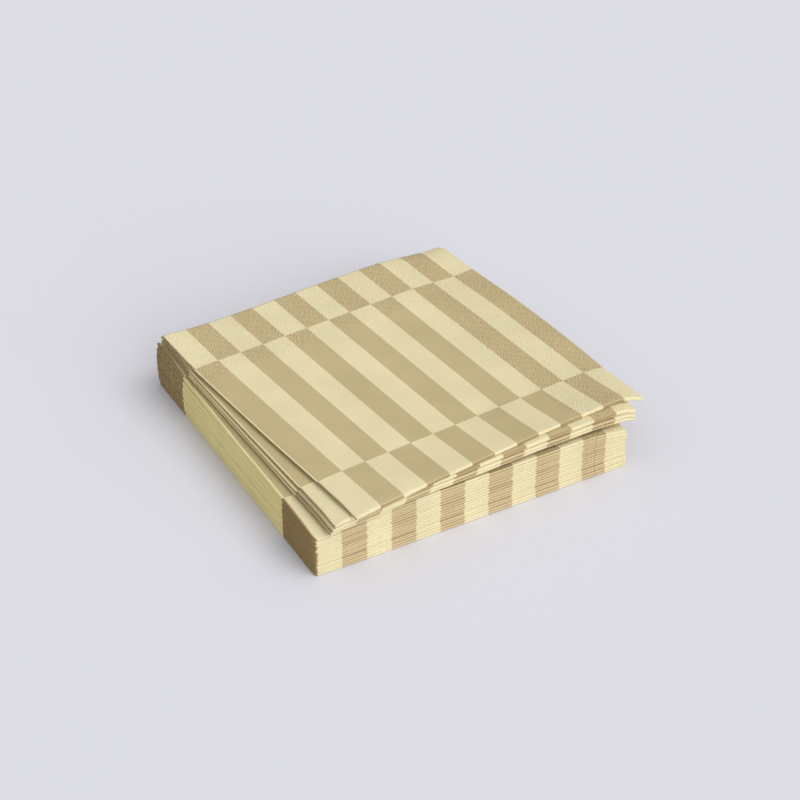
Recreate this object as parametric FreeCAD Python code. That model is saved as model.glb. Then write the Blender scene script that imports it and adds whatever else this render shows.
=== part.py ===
"""Stack of paper napkins, quarter-folded: a square pile with four more fanned out on top.

Each napkin is one square sheet of tissue folded twice, so it lies four leaves thick.
The first fold runs along the left side. The second runs along the front and wraps an
outer pair of leaves round an inner pair. The right and the back side are open.

Millimetres, +Z up. The origin is the middle of the bottom napkin's underside, +X points
to the open right side and +Y to the open back side.
"""

import FreeCAD, Part
import math
import os

from FreeCAD import Vector

# The folded sheet
folded_width = 165.0        # from the first fold to the open right side
folded_depth = 165.0        # from the second fold to the open back side
sheet_thickness = 0.27      # the plies of tissue together, as they lie in the pile
leaf_gap = 0.08             # air between the two leaves of a pair, inside the first fold
pair_gap = 0.08             # air between the two pairs, inside the second fold
crease_bevel = 0.2          # the first fold is pressed flat, with bevelled corners
leaf_step = 0.4             # the inner leaf of a pair ends this much short of the outer one
rise_run = 22.0             # distance behind the second fold in which the upper pair rises

# The square pile
pile_count = 16
napkin_gap = 0.06           # air between a napkin and the next one
pile_turn = 0.45            # degrees that the napkins in the middle of the pile are turned
pile_front_slip = 0.25      # how far every other napkin lies back from the front
pile_puffs = {5: 0.12, 11: 0.35, 16: 0.3}     # napkin number: rise of its upper pair

# The napkins fanned out on top, from the lowest up
fan_turns = (2.0, 2.35, 2.95, 6.1)      # degrees, to the left as seen from above
fan_tilts = (0.30, 0.60, 0.90, 1.20)    # degrees that the folded left side stands up
fan_puffs = (0.0, 0.1, 0.25, 0.5)       # rise of the upper pair
fan_corner_x = (6.4, 7.0, 8.4, 17.3)    # front left corner, to the right of the pile's
fan_corner_y = (3.0, 3.4, 3.6, 5.2)     # and in front of the pile's front
fan_gap = 0.12              # least air between a fanned napkin and the one below it

pair_thickness = 2 * sheet_thickness + leaf_gap
bend_radius = pair_gap / 2 + pair_thickness / 2     # middle of the pair round the second fold
napkin_thickness = 2 * pair_thickness + pair_gap

X_AXIS = Vector(1, 0, 0)
Y_AXIS = Vector(0, 1, 0)
Z_AXIS = Vector(0, 0, 1)
ORIGIN = Vector(0, 0, 0)


def pair_section(y):
    """Section across a pair of leaves: two flat legs joined by the pressed first fold.

    It stands in the plane at y, its fold at x = 0, its lower leg on z = 0.
    """
    short_end = folded_width - leaf_step
    upper_leg = sheet_thickness + leaf_gap
    outline = [
        (crease_bevel, 0), (folded_width, 0), (folded_width, sheet_thickness),
        (sheet_thickness, sheet_thickness), (sheet_thickness, upper_leg),
        (short_end, upper_leg), (short_end, pair_thickness), (crease_bevel, pair_thickness),
        (0, pair_thickness - crease_bevel), (0, crease_bevel), (crease_bevel, 0),
    ]
    return Part.Face(Part.makePolygon([Vector(x, y, z) for x, z in outline]))


def run(section, distance):
    """A straight stretch of the pair of leaves, and the section at its far end."""
    return section.extrude(Y_AXIS * distance), section.translated(Y_AXIS * distance)


def bend(section, y, z, axis, degrees):
    """A stretch of the pair bent round the line at y and z, and the section at its far end."""
    centre = Vector(0, y, z)
    return section.revolve(centre, axis, degrees), section.rotated(centre, axis, degrees)


def rise(section, y, z, puff):
    """Two equal bends that lift the pair by puff within rise_run, and the section behind them."""
    angle = 2 * math.atan(puff / rise_run)
    radius = rise_run / (2 * math.sin(angle))
    degrees = math.degrees(angle)
    up, section = bend(section, y, z + radius, X_AXIS, degrees)
    crest_z = z + puff - radius
    level, section = bend(section, y + rise_run, crest_z, -X_AXIS, degrees)
    return [up, level], section


def folded_napkin(puff):
    """One napkin lying flat: the pair of leaves is carried forward along the bottom, round
    the second fold and back along the top. Its front left corner is at x = 0, y = 0."""
    fold_y = bend_radius + pair_thickness / 2
    bottom, section = run(pair_section(folded_depth), fold_y - folded_depth)
    front, section = bend(section, fold_y, pair_thickness / 2 + bend_radius, -X_AXIS, 180)
    solids = [bottom, front]
    level_y = fold_y
    if puff > 0:
        top_z = pair_thickness / 2 + 2 * bend_radius
        rising, section = rise(section, fold_y, top_z, puff)
        solids += rising
        level_y += rise_run
    top, section = run(section, folded_depth - leaf_step - level_y)
    solids.append(top)
    return solids[0].fuse(solids[1:]).removeSplitter().Solids[0]


def place(shape, corner_x, corner_y, turn, tilt, z):
    """Stands the left side up by tilt about the right side, turns the napkin to the left about
    its front left corner, and puts that corner at corner_x, corner_y from the pile's own."""
    placed = shape.copy()
    placed.rotate(Vector(folded_width, 0, 0), Y_AXIS, tilt)
    placed.rotate(ORIGIN, Z_AXIS, turn)
    placed.translate(Vector(corner_x - folded_width / 2, corner_y - folded_depth / 2, z))
    return placed


def height_at(x, y, corner_x, corner_y, turn, tilt, z):
    """Height of a tilted napkin's underside at a point of the plan, both from the pile's corner."""
    across = (x - corner_x) * math.cos(math.radians(turn)) + (y - corner_y) * math.sin(math.radians(turn))
    return z + (folded_width - across) * math.tan(math.radians(tilt))


def corners_of(corner_x, corner_y, turn):
    """The four corners of a napkin in the plan, from the pile's own front left corner."""
    along = Vector(math.cos(math.radians(turn)), math.sin(math.radians(turn)), 0)
    back = Vector(-along.y, along.x, 0)
    first = Vector(corner_x, corner_y, 0)
    return [first + along * i * folded_width + back * j * folded_depth for i in (0, 1) for j in (0, 1)]


def square_pile():
    """The square pile's napkins from the bottom up, and the height of its top."""
    napkins = []
    z = 0.0
    for number in range(1, pile_count + 1):
        puff = pile_puffs.get(number, 0.0)
        level = (number - 1) / max(pile_count - 1, 1)
        turn = pile_turn * math.sin(math.pi * level)
        slip = pile_front_slip * (number % 2)
        napkins.append(place(folded_napkin(puff), 0, slip, turn, 0, z))
        z += napkin_thickness + puff + napkin_gap
    return napkins, z - napkin_gap


def fan(pile_top):
    """The fanned napkins, each resting with its right side on the one below."""
    napkins = []
    below = (0, 0, 0, 0, pile_top)
    below_thickness = 0
    for corner_x, front, turn, tilt, puff in zip(fan_corner_x, fan_corner_y, fan_turns, fan_tilts, fan_puffs):
        seat = (corner_x, -front, turn, tilt)
        lifts = [
            height_at(c.x, c.y, *below) + below_thickness - height_at(c.x, c.y, *seat, 0)
            for c in corners_of(corner_x, -front, turn)
        ]
        z = max(lifts) + fan_gap
        napkins.append(place(folded_napkin(puff), *seat, z))
        below = seat + (z,)
        below_thickness = (napkin_thickness + puff) / math.cos(math.radians(tilt))
    return napkins


os.makedirs("parts", exist_ok=True)
pile, pile_top = square_pile()
stack = pile + fan(pile_top)
for number, napkin in enumerate(stack, start=1):
    napkin.exportStep("parts/napkin_%02d.step" % number)
    print("napkin_%02d" % number, napkin.ShapeType, len(napkin.Solids), napkin.isValid(),
          round(napkin.Volume, 1), round(napkin.BoundBox.ZMin, 2), round(napkin.BoundBox.ZMax, 2))
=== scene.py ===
"""The looks of a stack of paper napkins: a square pile of sixteen with four more fanned out on top.

Lengths below are in millimetres, and a mesh is turned into metres when it is made. Inside this
script a place on the stack is measured from the pile's front left corner: x runs to the right
along the front folds, y runs back along the left folds, and z runs up from the table.
"""

import math

import bpy
import numpy as np
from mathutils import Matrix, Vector


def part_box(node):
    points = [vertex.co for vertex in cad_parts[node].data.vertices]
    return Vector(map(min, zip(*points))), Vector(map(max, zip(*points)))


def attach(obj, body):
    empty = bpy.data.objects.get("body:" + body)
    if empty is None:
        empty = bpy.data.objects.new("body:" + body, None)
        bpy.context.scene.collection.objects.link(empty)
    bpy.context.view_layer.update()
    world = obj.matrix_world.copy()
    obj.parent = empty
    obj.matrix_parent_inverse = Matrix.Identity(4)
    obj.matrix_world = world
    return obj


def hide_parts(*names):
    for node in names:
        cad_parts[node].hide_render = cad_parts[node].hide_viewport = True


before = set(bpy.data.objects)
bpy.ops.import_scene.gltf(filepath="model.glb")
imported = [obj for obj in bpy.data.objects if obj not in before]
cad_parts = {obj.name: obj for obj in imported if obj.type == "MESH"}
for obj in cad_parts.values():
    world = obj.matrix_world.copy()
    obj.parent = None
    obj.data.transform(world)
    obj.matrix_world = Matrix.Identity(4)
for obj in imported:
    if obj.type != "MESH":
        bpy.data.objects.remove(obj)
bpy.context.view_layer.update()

# The square pile
# Sixteen luncheon napkins of soft three-ply tissue, printed on one side in cream and tan.
# Each is one square sheet folded in half to the left and then in half to the front, and the
# folded napkins lie squared up on their folds, with the cut edges at the right and the back.
side = 165.0                # a folded napkin, half of the sheet's side
paper = 0.27                # three plies pressed together
leaf_gap = 0.08             # air inside the first fold
pair_gap = 0.08             # air inside the second fold
pair = 2 * paper + leaf_gap
fold_radius = pair_gap / 2 + pair / 2          # the middle of the pair round the second fold
fold_line_y = fold_radius + pair / 2           # where the second fold's round ends
thickness = 2 * pair + pair_gap
crease_middle = (pair + leaf_gap) / 4          # the middle of the paper round the first fold
first_fold_bends, second_fold_bends = 8, 10    # facets round each fold
printed, unprinted = 1.0, 0.0                  # the sheet's two faces

pile_names = ["napkin_%02d" % number for number in range(1, 17)]
pile_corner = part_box("napkin_01")[0] * 1000.0
pile_turn = math.radians(0.45)                 # how far the middle of the pile has turned
pile_setback = 0.15                            # of the soft pile, behind the solids' front
pile_step = 6.0                                # between the lines of points on a pile napkin
pile_flatness = 0.55                           # its folds are pressed flat, not round
cut_tolerance = 0.45                           # how far a leaf's cut edge may miss its neighbours
short_at_right = {15: 1.0, 16: 1.0}            # napkins cut a little narrower than the rest
fold_waver = 0.12                              # how far a fold line strays from straight
fold_reach = 5.0                               # how far into the napkin a fold's waver is felt


def ripple(seed, x, y, wave, size):
    """Soft unevenness within about size either way, from a few long waves in every direction."""
    waves, most = 6, 3.5                       # that many waves seldom add up to more
    chance = np.random.default_rng(seed)
    total = np.zeros(np.broadcast(x, y).shape)
    for _ in range(waves):
        heading = chance.uniform(0, 2 * math.pi)
        length = wave * chance.uniform(0.7, 1.6)
        start = chance.uniform(0, 2 * math.pi)
        along = x * math.cos(heading) + y * math.sin(heading)
        total = total + np.sin(along * 2 * math.pi / length + start)
    return size * total / most


def ease(value, start, end):
    """Rises smoothly from 0 at start to 1 at end."""
    part = np.clip((value - start) / (end - start), 0, 1)
    return part * part * (3 - 2 * part)


def run_stations(length, step):
    """Places along a leaf from its fold to its cut edge, closer together near both."""
    near_fold = [0.0, 0.5, 1.2, 2.2, 3.6, 5.4, 7.6, 10.4]
    near_cut = [length - 1.8, length - 0.6, length]
    first, last = 14.0, length - 5.0
    middle = np.linspace(first, last, round((last - first) / step) + 1)
    return np.array(near_fold + list(middle) + near_cut)


def fold_stations(step, bends):
    """Turn and run of each line of points across a fold, from one cut edge to the other."""
    run = run_stations(side, step)
    arc = np.linspace(-math.pi / 2, math.pi / 2, bends + 1)[1:-1]
    turn = np.concatenate([np.full(len(run), -math.pi / 2), arc, np.full(len(run), math.pi / 2)])
    reach = np.concatenate([run[::-1], np.zeros(len(arc)), run])
    return turn, reach


def folded_sheet(step, leaf_ends, pair_ends, flatness):
    """The doubly folded sheet lying flat: grids of its printed and its unprinted face.

    leaf_ends are the lengths of the inner and the outer leaf from the first fold, and pair_ends
    those of the lower and the upper pair from the second. flatness is 1 for a round fold and
    less for one pressed flat. Each face is a dictionary of x, y and z on the napkin, the paper's
    own place (across, along), and how far the point belongs to the outer leaf and to the upper
    pair.
    """
    first_turn, first_reach = fold_stations(step, first_fold_bends)
    second_turn, second_reach = fold_stations(step, second_fold_bends)
    outer = ((1 + np.sin(first_turn)) / 2)[:, None]
    upper = ((1 + np.sin(second_turn)) / 2)[None, :]
    middle = crease_middle * np.sin(first_turn)[:, None]
    crease_way = math.pi / 2 * crease_middle
    leaf_length = np.where(first_turn < 0, leaf_ends[0], leaf_ends[1])
    leaf_run = first_reach * (leaf_length - crease_way) / side
    across = first_turn * crease_middle + np.sign(first_turn) * leaf_run
    pair_length = np.where(second_turn < 0, pair_ends[0], pair_ends[1])[None, :]
    fold_way = math.pi / 2 * (fold_radius + middle)
    pair_run = second_reach[None, :] * (pair_length - fold_way) / side
    along = second_turn[None, :] * (fold_radius + middle) + np.sign(second_turn)[None, :] * pair_run
    first_round = np.abs(np.cos(first_turn)) ** flatness
    second_round = np.abs(np.cos(second_turn))[None, :] ** flatness
    faces = []
    for crease_radius in (pair / 2, leaf_gap / 2):
        x = pair / 2 - crease_radius * first_round + leaf_run
        out = crease_radius * np.sin(first_turn)[:, None]
        y = fold_line_y - (fold_radius + out) * second_round + pair_run
        z = thickness / 2 + (fold_radius + out) * np.sin(second_turn)[None, :]
        faces.append({
            "x": np.broadcast_to(x[:, None], y.shape), "y": y, "z": z,
            "across": np.broadcast_to(across[:, None], y.shape), "along": along,
            "outer": np.broadcast_to(outer, y.shape), "upper": np.broadcast_to(upper, y.shape),
        })
    return faces


def wavering_folds(face, seed, wave, size):
    """A face's x and y with its two fold lines straying from straight by about size."""
    height = face["z"] * 30                    # the leaves one above the other stray differently
    left_fold = ripple(200 + seed, face["y"], height, wave, size) * np.exp(-face["x"] / fold_reach)
    front_fold = ripple(300 + seed, face["x"], height, wave, size) * np.exp(-face["y"] / fold_reach)
    return face["x"] + left_fold, face["y"] + front_fold


def on_the_pile(x, y, corner, turn):
    """A place on a napkin turned into a place on the pile."""
    return (corner[0] + x * math.cos(turn) - y * math.sin(turn),
            corner[1] + x * math.sin(turn) + y * math.cos(turn))


def sheet_mesh(name, faces, places, print_slip):
    """One closed mesh from the two faces of the sheet and the cut edge round it."""
    rows, columns = faces[0]["x"].shape
    index = np.arange(rows * columns).reshape(rows, columns)
    back = index + rows * columns
    corners = [index[:-1, :-1], index[1:, :-1], index[1:, 1:], index[:-1, 1:]]
    front_faces = np.stack(corners, -1).reshape(-1, 4)
    back_faces = np.stack([back[:-1, :-1], back[:-1, 1:], back[1:, 1:], back[1:, :-1]], -1)
    rim = []
    for line, other in ((index[:, 0], back[:, 0]), (index[-1, :], back[-1, :]),
                        (index[::-1, -1], back[::-1, -1]), (index[0, ::-1], back[0, ::-1])):
        rim.append(np.stack([line[1:], line[:-1], other[:-1], other[1:]], -1))
    rim = np.concatenate(rim)
    polygons = np.concatenate([front_faces, back_faces.reshape(-1, 4), rim])
    points = np.concatenate([np.stack(place, -1).reshape(-1, 3) for place in places])
    points[:, :2] += np.array(pile_corner[:2])
    mesh = bpy.data.meshes.new(name)
    mesh.from_pydata((points / 1000.0).tolist(), [], polygons.tolist())
    smooth = np.ones(len(polygons), dtype=bool)
    smooth[len(polygons) - len(rim):] = False
    mesh.polygons.foreach_set("use_smooth", smooth)

    paper_place = []
    for face, kind in zip(faces, (printed, unprinted)):
        across = face["across"] + print_slip[0]
        along = face["along"] + print_slip[1]
        paper_place.append(np.stack([across, along, np.full(across.shape, kind)], -1).reshape(-1, 3))
    paper_place = np.concatenate(paper_place)
    place_layer = mesh.attributes.new("paper_place", "FLOAT_VECTOR", "POINT")
    place_layer.data.foreach_set("vector", paper_place.ravel().astype(np.float32))
    lay_out_map(mesh, paper_place, polygons, len(front_faces), len(rim))
    mesh.update()
    return mesh


def lay_out_map(mesh, paper_place, polygons, front_count, rim_count):
    """The piece's map is the unfolded sheet: the printed face large, the plain face beside it."""
    sheet_side = 2 * side + 6.0                # with a margin for the slip of the print
    printed_size, plain_size = 0.64, 0.31
    printed_start, plain_start = 0.01, np.array([0.68, 0.01])
    near_edge, rim_width = 0.47, 0.004         # the cut edge is a thin band round the printed face
    spot = (paper_place[:, :2] + sheet_side / 2) / sheet_side
    corner_points = polygons.ravel()
    corner_spot = spot[corner_points] * printed_size + printed_start
    on_back = np.zeros(len(corner_points), dtype=bool)
    on_back[front_count * 4:(len(polygons) - rim_count) * 4] = True
    corner_spot[on_back] = spot[corner_points[on_back]] * plain_size + plain_start
    on_rim = np.zeros(len(corner_points), dtype=bool)
    on_rim[(len(polygons) - rim_count) * 4:] = True
    outward = on_rim & (corner_points >= len(paper_place) // 2)
    away = spot[corner_points[outward]] - 0.5
    corner_spot[outward] += np.where(np.abs(away) > near_edge, np.sign(away) * rim_width, 0)
    sheet_map = mesh.uv_layers.new(name="OFBake")
    sheet_map.data.foreach_set("uv", corner_spot.ravel().astype(np.float32))


# How the pile settles: the height of each napkin, from the table up. The loops of the front
# folds hold the pile open in the middle of its front, and its corners are pressed together.
even_air = 0.19             # the air that every napkin holds
pile_puffs = {5: 0.04, 11: 0.10, 16: 0.06}
pile_opens_in_front = {3: 0.05, 8: 0.06, 11: 0.22, 13: 0.05, 14: 0.1}
pile_opens_at_left = {3: 0.50, 5: 0.06, 7: 0.40, 10: 0.08, 12: 0.14, 14: 0.06}
napkin_rest_gap = 0.05


def pressed(x, y):
    """How far the paper itself is squeezed: more where the folds cross and at the cut corner."""
    cut_corner = 0.06 * ease(x, 80, 160) * ease(y, 85, 150)
    return 0.945 - 0.025 * np.exp(-(x * x + y * y) / 60) - cut_corner


def springiness(x, y):
    """How far the pile stands open there, from 0 where it is pressed shut to about 1."""
    inside = 0.58 - 0.14 * ease(x, 60, 160) - (0.24 + 0.16 * ease(x, 60, 160)) * ease(y, 115, 165)
    inside = inside - 0.24 * np.exp(-np.clip(x, 0, None) / 10) * ease(y, 4, 40)
    front_loops = np.exp(-np.clip(y, 0, None) / 11) * (0.42 * ease(x, 0, 60) + 0.17 * ease(x, 95, 125))
    left_corner = 1 - np.exp(-np.clip(x, 0, None) / 20 - np.clip(y, 0, None) / 5)
    right_corner = 1 - 0.9 * ease(x, 145, 168) * (1 - ease(y, 4, 26))
    back_corner = 0.95 * np.exp(-np.clip(x, 0, None) / 16) * ease(y, 128, 162)
    return (inside + front_loops) * left_corner * right_corner + back_corner


def pile_air(number, x, y):
    """The air between a pile napkin's two pairs."""
    spring = (pile_puffs.get(number, 0) + even_air) * springiness(x, y)
    return np.clip(spring + ripple(100 + number, x, y, 120.0, 0.03), 0.01, None)


def pile_gap(number, x, y):
    """The air above a pile napkin, wider where the pile has opened a little."""
    front = pile_opens_in_front.get(number, 0) * np.exp(-((x - 75) / 40) ** 2) * np.exp(-y / 22)
    left = pile_opens_at_left.get(number, 0) * np.exp(-np.clip(x, 0, None) / 10) * ease(y, 4, 40)
    return napkin_rest_gap + front + left


def pile_height(count, x, y):
    """Height of the top of the first count napkins of the pile."""
    height = count * thickness * pressed(x, y)
    for number in range(1, count + 1):
        height = height + pile_air(number, x, y)
    for number in range(1, count):
        height = height + pile_gap(number, x, y)
    return height


# The printed tissue: cream and tan ink on one side of soft pale paper. Its colour holds painted shade
# in the creases and grooves and a painted highlight on top of the folds, and a frame of slanting
# crinkles is rolled in round the sheet's border, with painted shade and highlight on its tan.
# Everything is placed by the paper's own place on the unfolded sheet.
tissue = bpy.data.materials.new("printed_tissue")
tissue.use_nodes = True
tissue_nodes, tissue_links = tissue.node_tree.nodes, tissue.node_tree.links
cream_ink = (0.775, 0.682, 0.425, 1)
tan_ink = (0.545, 0.443, 0.240, 1)
plain_paper = (0.78, 0.73, 0.58, 1)
# Painted shade: a more saturated cream and a darker tan where the folds and furrows lie in shade.
shaded_cream = (0.86, 0.755, 0.385, 1)
shaded_tan = (0.345, 0.245, 0.113, 1)
# Painted highlight: a paler tan on the lit crests of the folds and crinkles.
highlit_tan = (0.66, 0.505, 0.30, 1)
stripe = side / 13          # thirteen stripes on the folded side
print_start = 1.07          # the stripes' first edge lies this far beyond the first fold
front_row = 31.5            # depth of the front row of fields
middle_rows = 136.0         # where the back row begins
ink_bleed = 0.35            # how far the edge of a field wanders
ink_edge = 0.12             # half of the width in which one ink gives way to the other
embossed_frame = 41.0       # width of the rolled, crinkled frame round the sheet
frame_unevenness = 9.0      # how far the frame's inner edge wanders
frame_fade = 3.0            # half of the width in which it fades out
crinkle_pitch = 1.35        # from one crinkle to the next
crinkle_length = 4.2        # along a crinkle, from one break to the next
crinkle_wander = 3.5        # how far the crinkles stray from straight
ink_through = 0.35          # how much of the ink shows on the plain side
diagonal = 0.7071           # the crinkles run at 45 degrees to the folds
relief_depth = 0.0002       # of the crinkles and fibres, in metres


def maths(operation, first, second=None, third=None):
    """The result of a Math node. Each operand is a number or what another node gives."""
    node = tissue_nodes.new("ShaderNodeMath")
    node.operation = operation
    for socket, value in zip(node.inputs, (first, second, third)):
        if value is None:
            continue
        if isinstance(value, (int, float)):
            socket.default_value = value
        else:
            tissue_links.new(value, socket)
    return node.outputs[0]


def spread(value, low, high, to_low=0.0, to_high=1.0):
    """Goes smoothly from to_low to to_high while value goes from low to high."""
    node = tissue_nodes.new("ShaderNodeMapRange")
    node.interpolation_type = "SMOOTHSTEP"
    tissue_links.new(value, node.inputs["Value"])
    node.inputs["From Min"].default_value = low
    node.inputs["From Max"].default_value = high
    node.inputs["To Min"].default_value = to_low
    node.inputs["To Max"].default_value = to_high
    return node.outputs["Result"]


def speckle(scale, detail=2.0, roughness=0.5):
    """Soft noise that is fixed to the paper, with about scale lumps to the millimetre."""
    node = tissue_nodes.new("ShaderNodeTexNoise")
    node.inputs["Scale"].default_value = scale
    node.inputs["Detail"].default_value = detail
    node.inputs["Roughness"].default_value = roughness
    tissue_links.new(paper_spot.outputs["Vector"], node.inputs["Vector"])
    return node.outputs["Fac"]


def colour_socket(sockets, name):
    """The socket of that name that holds a colour: a Mix node has one of each kind."""
    return next(socket for socket in sockets if socket.name == name and socket.type == "RGBA")


def mixed(amount, first, second):
    """Two colours mixed, where an amount of 0 is all first and 1 is all second."""
    node = tissue_nodes.new("ShaderNodeMix")
    node.data_type = "RGBA"
    if isinstance(amount, float):
        node.inputs["Factor"].default_value = amount
    else:
        tissue_links.new(amount, node.inputs["Factor"])
    for name, value in (("A", first), ("B", second)):
        socket = colour_socket(node.inputs, name)
        if isinstance(value, tuple):
            socket.default_value = value
        else:
            tissue_links.new(value, socket)
    return colour_socket(node.outputs, "Result")


paper_spot = tissue_nodes.new("ShaderNodeAttribute")
paper_spot.attribute_name = "paper_place"
spot_parts = tissue_nodes.new("ShaderNodeSeparateXYZ")
tissue_links.new(paper_spot.outputs["Vector"], spot_parts.inputs[0])
spot_across, spot_along, spot_face = spot_parts.outputs
from_first_fold = maths("ABSOLUTE", spot_across)
from_second_fold = maths("ABSOLUTE", spot_along)


def where_cream_is():
    """1 on cream and 0 on tan: stripes over the sheet, swapped in the front and back rows."""
    bleed = maths("MULTIPLY", maths("SUBTRACT", speckle(1.3), 0.5), ink_bleed)
    beyond_start = maths("ADD", maths("SUBTRACT", spot_across, print_start), bleed)
    stripe_wave = maths("SINE", maths("MULTIPLY", maths("DIVIDE", beyond_start, stripe), math.pi))
    stripe_sign = spread(stripe_wave, -0.03, 0.03, -1.0, 1.0)
    depth = maths("ADD", from_second_fold, bleed)
    in_front = spread(depth, front_row - ink_edge, front_row + ink_edge, 1.0, -1.0)
    at_back = spread(depth, middle_rows - ink_edge, middle_rows + ink_edge, 1.0, -1.0)
    row_sign = maths("MULTIPLY", in_front, at_back)
    return maths("MULTIPLY_ADD", maths("MULTIPLY", stripe_sign, row_sign), 0.5, 0.5)


def inked_paper(is_cream):
    """The two inks, with painted shade in the creases and grooves, a painted highlight on top of the
    fold, and mottled by the fibres.
    """
    # Painted shade at the first fold, whose face lies in shade, and in the grooves between the front
    # folds.
    crease_shade = spread(from_first_fold, 0.45, 1.1, 1.0, 0.0)
    fold_side = spread(from_second_fold, 0.45, 0.8)
    fold_end = spread(from_second_fold, 1.15, 1.5, 1.0, 0.0)
    groove_shade = maths("MULTIPLY", maths("MULTIPLY", fold_side, fold_end), 0.85)
    # Painted highlight on top of the second fold.
    fold_crest_highlight = spread(from_second_fold, 0.12, 0.5, 0.65, 0.0)
    cream_shown = mixed(crease_shade, cream_ink, shaded_cream)
    tan_on_top = mixed(fold_crest_highlight, tan_ink, highlit_tan)
    tan_shown = mixed(maths("MAXIMUM", crease_shade, groove_shade), tan_on_top, shaded_tan)
    mottle = spread(speckle(0.045, 3.0), 0.3, 0.7, 0.965, 1.03)
    fibre_tone = spread(speckle(2.6, 4.0, 0.7), 0.25, 0.75, 0.95, 1.04)
    toned = tissue_nodes.new("ShaderNodeVectorMath")
    toned.operation = "SCALE"
    tissue_links.new(mixed(is_cream, tan_shown, cream_shown), toned.inputs[0])
    tissue_links.new(maths("MULTIPLY", mottle, fibre_tone), toned.inputs["Scale"])
    return toned.outputs[0]


def rolled_crinkles():
    """The slanting crinkles of the sheet's frame, from -1 in a furrow to 1 on a crest."""
    border = maths("MAXIMUM", from_first_fold, from_second_fold)
    strays = maths("MULTIPLY", maths("SUBTRACT", speckle(0.12), 0.5), frame_unevenness)
    frame_start = side - embossed_frame
    in_frame = spread(maths("ADD", border, strays), frame_start - frame_fade, frame_start + frame_fade)
    wander = maths("MULTIPLY", speckle(0.42), crinkle_wander)
    over = maths("MULTIPLY", maths("SUBTRACT", spot_across, spot_along), diagonal)
    lengthways = maths("MULTIPLY", maths("ADD", spot_across, spot_along), diagonal)
    over_waves = maths("MULTIPLY", maths("ADD", over, wander), 2 * math.pi / crinkle_pitch)
    break_waves = maths("MULTIPLY", maths("ADD", lengthways, wander), 2 * math.pi / crinkle_length)
    breaks = spread(maths("SINE", break_waves), -1.0, 1.0, 0.35, 1.0)
    return maths("MULTIPLY", maths("MULTIPLY", maths("SINE", over_waves), breaks), in_frame)


# The plain side shows a little of the ink through the paper.
is_cream = where_cream_is()
ink = inked_paper(is_cream)
shown = mixed(spread(spot_face, 0.35, 0.65), mixed(ink_through, plain_paper, ink), ink)

# On the tan, painted shade in the crinkles' furrows and a painted highlight on their crests.
rolled = rolled_crinkles()
on_tan = maths("SUBTRACT", 1.0, is_cream)
furrow_shade = spread(rolled, -0.9, -0.1, 0.36, 0.0)
crest_highlight = spread(rolled, 0.1, 0.7, 0.0, 0.6)
shown = mixed(maths("MULTIPLY", furrow_shade, on_tan), shown, shaded_tan)
shown = mixed(maths("MULTIPLY", crest_highlight, on_tan), shown, highlit_tan)

# The relief: the crinkles, flatter at the fold and on the cream, and the fibres all over.
off_the_fold = spread(from_second_fold, 0.8, 2.5, 0.3, 1.0)
smoother_cream = maths("MULTIPLY_ADD", is_cream, -0.3, 1.0)
emboss = maths("MULTIPLY", maths("MULTIPLY", rolled, off_the_fold), smoother_cream)
fine_fibres = maths("MULTIPLY", speckle(1.6, 4.0, 0.75), 0.7)
coarse_fibres = maths("MULTIPLY", speckle(0.5), 0.4)
relief = maths("ADD", maths("MULTIPLY", emboss, 0.75), maths("ADD", fine_fibres, coarse_fibres))
bump = tissue_nodes.new("ShaderNodeBump")
bump.inputs["Strength"].default_value = 0.8
bump.inputs["Distance"].default_value = relief_depth
tissue_links.new(relief, bump.inputs["Height"])

shader = tissue_nodes["Principled BSDF"]
shader.inputs["Roughness"].default_value = 0.92
shader.inputs["Specular IOR Level"].default_value = 0.06
tissue_links.new(shown, shader.inputs["Base Color"])
tissue_links.new(bump.outputs["Normal"], shader.inputs["Normal"])


def settled(face, bottom, air, flatness):
    """Height of a napkin's points: on what lies below, with its air let in between the leaves.

    air is how far the first, second and third gaps between the four leaves open there.
    """
    lower_leaf, middle_air, upper_leaf = air
    if_lower = lower_leaf * (1 - face["outer"])
    if_upper = lower_leaf + middle_air + upper_leaf * face["outer"]
    lift = (1 - face["upper"]) * if_lower + face["upper"] * if_upper
    return bottom + face["z"] * flatness + lift


def finish_napkin(name, mesh):
    """The napkin's object: its material, its body, and the node it stands for."""
    piece = bpy.data.objects.new(name + "_tissue", mesh)
    bpy.context.scene.collection.objects.link(piece)
    mesh.materials.append(tissue)
    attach(piece, "root")
    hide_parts(name)


for number, name in enumerate(pile_names, start=1):
    chance = np.random.default_rng(40 + number)
    leaf_miss, pair_miss = chance.uniform(-cut_tolerance, cut_tolerance, 2)
    reach_right = side - short_at_right.get(number, 0.0)
    corner_softness = chance.uniform(0.5, 1.1)
    slip = (chance.normal(0, 0.2), chance.normal(0, 0.15))
    faces = folded_sheet(pile_step, (reach_right + leaf_miss, reach_right - leaf_miss),
                         (side - pair_miss, side + pair_miss), pile_flatness)
    level = (number - 1) / (len(pile_names) - 1)
    turn = pile_turn * math.sin(math.pi * level) + math.radians(chance.normal(0, 0.05))
    corner = (chance.normal(0, 0.10), pile_setback + chance.normal(0, 0.10))
    places = []
    for face in faces:
        x, y = wavering_folds(face, number, 60.0, fold_waver)
        # The corner where the two folds meet is soft and a little rounded.
        rounding = corner_softness * np.exp(-np.clip(x + y, 0, None) / 2.6)
        across, back = on_the_pile(x + rounding, y + rounding, corner, turn)
        bottom = pile_height(number - 1, across, back)
        if number > 1:
            bottom = bottom + pile_gap(number - 1, across, back)
        air = pile_air(number, across, back)
        height = settled(face, bottom, (0 * air, air, 0 * air), pressed(across, back))
        places.append((across, back, height))
    mesh = sheet_mesh(name + "_tissue", faces, places, slip)
    finish_napkin(name, mesh)

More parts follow.
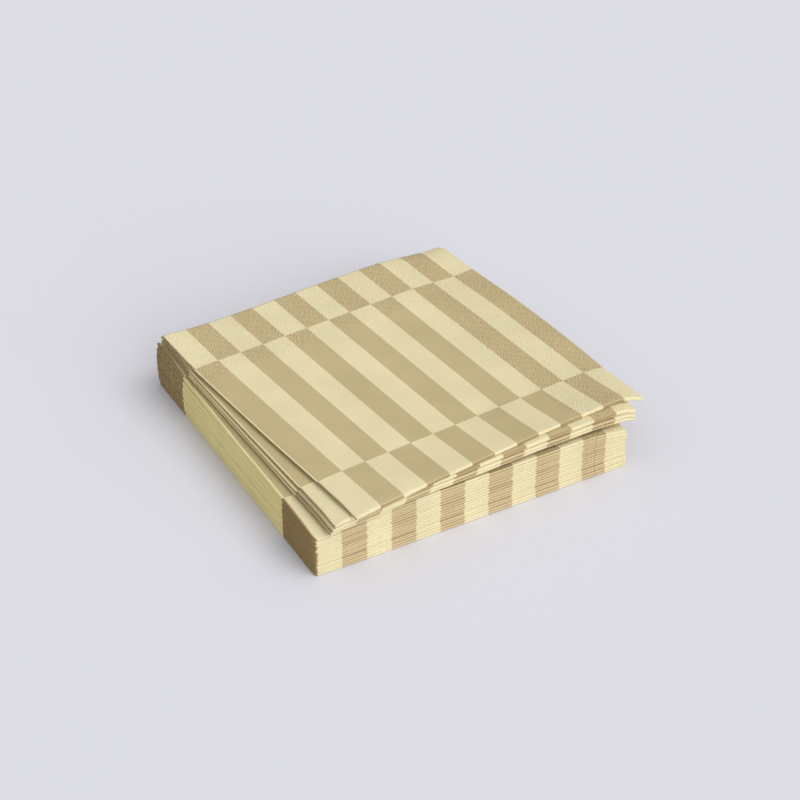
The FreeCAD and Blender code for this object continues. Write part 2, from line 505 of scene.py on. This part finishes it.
# The napkins fanned out on top
# Four more of the same napkins, turned to the left about the back left corner by more and more.
# They haven't been pressed, so they hold more air, most of it on the side of their folds, and
# their corners hang over the pile's edges.
fan_names = ["napkin_%02d" % number for number in range(17, 21)]
fan_turns = [math.radians(angle) for angle in (2.0, 2.35, 2.95, 6.43)]
fan_corners = ((6.6, -2.1), (7.2, -2.7), (8.8, -2.8), (17.9, -5.6))    # each front left corner
fan_slips = ((0.6, 0.3), (0.45, -0.2), (0.6, 0.6), (0.55, 0.9))    # of the print on the sheet
fan_steps = (5.0, 4.5, 3.6, 2.6)               # between the lines of points, finest on the top one
fan_ends = (164.6, 164.2, 164.4, 164.6)        # from the folds to the cut edges
fan_flatness = 0.8                             # nearly round folds
fan_cut_tolerance = 0.4
fan_fold_waver = 0.15
loop_reach = 12.0                              # how far in from the front a loop holds its air
# How the air of the fan is shared out: under the lowest of the four, then in and under each.
shares_at_left = (0.12, 0.12, 0.18, 0.18, 0.40)
shares_in_front = (0.28, 0.08, 0.10, 0.29, 0.25)
shares_at_right = (0.58, 0.02, 0.03, 0.22, 0.15)
# The top napkin's upper side: a slope that falls to the right and the back, and along the front
# the height by which the loops of the front folds hold it up.
slope_height, slope_to_right, slope_to_back = 33.2, 0.03236, 0.01172
front_fold_slant = 0.1127                      # how far its front fold runs back for each step right
lip_places = (5.0, 18.0, 28.0, 57.0, 80.0, 100.0, 118.0, 135.0, 160.0, 181.0)
lip_heights = (0.0, 0.2, 0.6, 1.65, 2.4, 3.05, 3.6, 3.7, 4.0, 4.2)
lip_depth = 33.0                               # how far back from the front that reaches
front_sag = (0.03, 0.03, 0.03, 0.017)          # of what hangs past the pile at the right
free_sag = (0.0, 0.0, 0.2, 0.5)                # of front edges that reach past the napkin below
back_sag = 0.0248                              # of what hangs past the pile at the back


def fan_top(x, y):
    """Height of the top napkin's upper side: sloping to the back right, with its front held up."""
    slope = slope_height - slope_to_right * x - slope_to_back * y
    corner_x, corner_y = fan_corners[-1]
    behind_front = np.clip(y - corner_y - front_fold_slant * (x - corner_x), 0, None)
    lip = np.interp(x, lip_places, lip_heights) * np.clip(1 - behind_front / lip_depth, 0, 1) ** 1.3
    back_left = (1.3 * ease(y, 90, 160) + 2.0 * ease(y, 130, 160)) * np.exp(-np.clip(x, 0, None) / 15)
    back_right = 1.75 * ease(x, 125, 157) * ease(y, 105, 150)
    return slope + lip + back_left - back_right


def fan_droop(order, x, y):
    """How far a fanned napkin hangs down past the pile's right and back edges."""
    right = front_sag[order] * np.clip(x - 163, 0, None) ** 2 * np.exp(-(np.clip(y, 0, None) / 45) ** 2)
    back = back_sag * np.clip(y - 166, 0, None) ** 2 * (0.35 + 0.65 * ease(x, 100, 160))
    return right + back


def fan_levels(order, x, y):
    """Heights between which a fanned napkin lies, 0 being the lowest, and how far it is pressed."""
    pile = pile_height(len(pile_names), np.clip(x, 0, side), np.clip(y, 0, side)) + napkin_rest_gap
    room = fan_top(x, y) - pile
    pressing = np.clip(room / (4 * thickness + 0.45), 0.83, 1)
    one_napkin = thickness * pressing + napkin_rest_gap
    air = np.clip(room - 4 * one_napkin, 0.1, None)
    to_right = ease(x, 70, 120)
    in_front = np.exp(-np.clip(y, 0, None) / loop_reach) * (1 - to_right)
    at_right = (0.2 + 0.8 * np.exp(-(np.clip(y, 0, None) / 13) ** 2)) * to_right
    elsewhere = 1 - at_right - in_front
    shares = [left * elsewhere + front * in_front + right * at_right for left, front, right
              in zip(shares_at_left, shares_in_front, shares_at_right)]
    low = pile + air * sum(shares[:order + 1]) + order * one_napkin
    return low, low + air * shares[order + 1], pressing


for order, name in enumerate(fan_names):
    chance = np.random.default_rng(70 + order)
    end = fan_ends[order]
    miss = chance.uniform(-fan_cut_tolerance, fan_cut_tolerance)
    faces = folded_sheet(fan_steps[order], (end - miss, end), (end + miss, end), fan_flatness)
    places = []
    for face in faces:
        x, y = wavering_folds(face, 200 + order, 70.0, fan_fold_waver)
        across, back = on_the_pile(x, y, fan_corners[order], fan_turns[order])
        low, high, pressing = fan_levels(order, across, back)
        from_left = np.clip(x, 0, None)
        from_front = np.clip(y, 0, None)
        # The napkin takes its share of air into its front loop, and elsewhere it lies under it.
        inside = (0.12 + 0.88 * np.exp(-from_front / loop_reach)) * (1 - np.exp(-from_left / 5))
        held = (high - low) * inside
        below = (high - low) - held
        held = held * (1 - 0.35 * np.exp(-from_front / 2.5))
        # Its left fold sinks a little onto the napkin below, and the corner of its folds most.
        corner_sag = 0.85 * np.exp(-(from_left / 9) ** 2 - (from_front / 9) ** 2)
        edge_sag = np.maximum(0.15 * np.exp(-from_left / 3), corner_sag)
        bottom = low + below * (1 - edge_sag) - fan_droop(order, across, back)
        bottom = bottom - free_sag[order] * np.exp(-from_front / 4) * (1 - ease(across, 35, 85))
        pressing = pressing * (1 - 0.42 * np.exp(-from_left / 2.5))
        height = settled(face, bottom, (0.1 * held, 0.6 * held, 0.3 * held), pressing)
        places.append((across, back, height))
    mesh = sheet_mesh(name + "_tissue", faces, places, fan_slips[order])
    finish_napkin(name, mesh)

# The table and the light
# A plain pale table, soft light high at the front right and low in front, in a room that is
# pale above and dimmer and warmer at the sides, and a camera as the photograph's.
table_colour = (0.723, 0.716, 0.768, 1)
table_reach, table_drop = 4.0, 0.0001          # in metres, as all that follows
table_corners = [(-table_reach, -table_reach, -table_drop), (table_reach, -table_reach, -table_drop),
                 (table_reach, table_reach, -table_drop), (-table_reach, table_reach, -table_drop)]
table_mesh = bpy.data.meshes.new("table")
table_mesh.from_pydata(table_corners, [], [(0, 1, 2, 3)])
table = bpy.data.objects.new("table", table_mesh)
bpy.context.scene.collection.objects.link(table)
table_paint = bpy.data.materials.new("table_paint")
table_paint.use_nodes = True
table_shader = table_paint.node_tree.nodes["Principled BSDF"]
table_shader.inputs["Base Color"].default_value = table_colour
table_shader.inputs["Roughness"].default_value = 0.9
table_shader.inputs["Specular IOR Level"].default_value = 0.1
table_mesh.materials.append(table_paint)

# Each lamp: its direction, its share of the light on the table, its width in degrees, its colour.
lamps = (("window", (0.45, -0.45, 1.0), 0.26, 40, (1.0, 1.0, 1.0)),
         ("reflector", (0.15, -1.0, 0.28), 0.155, 60, (0.95, 1.0, 1.08)))
for lamp_name, direction, share, angle, colour in lamps:
    direction = Vector(direction).normalized()
    lamp = bpy.data.lights.new(lamp_name, "SUN")
    lamp.energy = share * math.pi / direction.z
    lamp.angle = math.radians(angle)
    lamp.color = colour
    lamp_object = bpy.data.objects.new(lamp_name, lamp)
    lamp_object.rotation_euler = direction.to_track_quat("Z", "Y").to_euler()
    bpy.context.scene.collection.objects.link(lamp_object)

room = bpy.data.worlds.new("room")
room.use_nodes = True
room_nodes, room_links = room.node_tree.nodes, room.node_tree.links
wall_strength, ceiling_strength = 0.33, 0.715
wall_colour, ceiling_colour = (1.0, 0.98, 0.88, 1), (0.995, 1.0, 1.04, 1)
room_direction = room_nodes.new("ShaderNodeTexCoord")
upward = room_nodes.new("ShaderNodeSeparateXYZ")
room_links.new(room_direction.outputs["Generated"], upward.inputs[0])
room_strength = room_nodes.new("ShaderNodeMapRange")
room_strength.inputs["To Min"].default_value = wall_strength
room_strength.inputs["To Max"].default_value = ceiling_strength
room_links.new(upward.outputs["Z"], room_strength.inputs["Value"])
room_colour = room_nodes.new("ShaderNodeMix")
room_colour.data_type = "RGBA"
room_links.new(upward.outputs["Z"], room_colour.inputs["Factor"])
colour_socket(room_colour.inputs, "A").default_value = wall_colour
colour_socket(room_colour.inputs, "B").default_value = ceiling_colour
room_links.new(room_strength.outputs["Result"], room_nodes["Background"].inputs["Strength"])
room_links.new(colour_socket(room_colour.outputs, "Result"), room_nodes["Background"].inputs["Color"])
bpy.context.scene.world = room

# The camera stands where the photograph's did, found from the corners of the square pile.
sensor = 36.0                                  # in millimetres
focal_pixels = 2513.0
photo_pixels = 800
camera_distance = 1.2269
camera_lift = math.radians(37.09)
camera_swing = math.radians(29.01)
look_at = Vector((0.01426, 0.01451, 0.0))
camera_data = bpy.data.cameras.new("camera")
camera_data.sensor_width = sensor
camera_data.lens = focal_pixels / photo_pixels * sensor
camera_data.clip_end = 20.0
camera = bpy.data.objects.new("camera", camera_data)
toward_camera = Vector((-math.sin(camera_swing) * math.cos(camera_lift),
                        -math.cos(camera_swing) * math.cos(camera_lift), math.sin(camera_lift)))
camera.location = look_at + camera_distance * toward_camera
camera.rotation_euler = toward_camera.to_track_quat("Z", "Y").to_euler()
bpy.context.scene.collection.objects.link(camera)
bpy.context.scene.camera = camera
bpy.context.scene.view_settings.view_transform = "Standard"
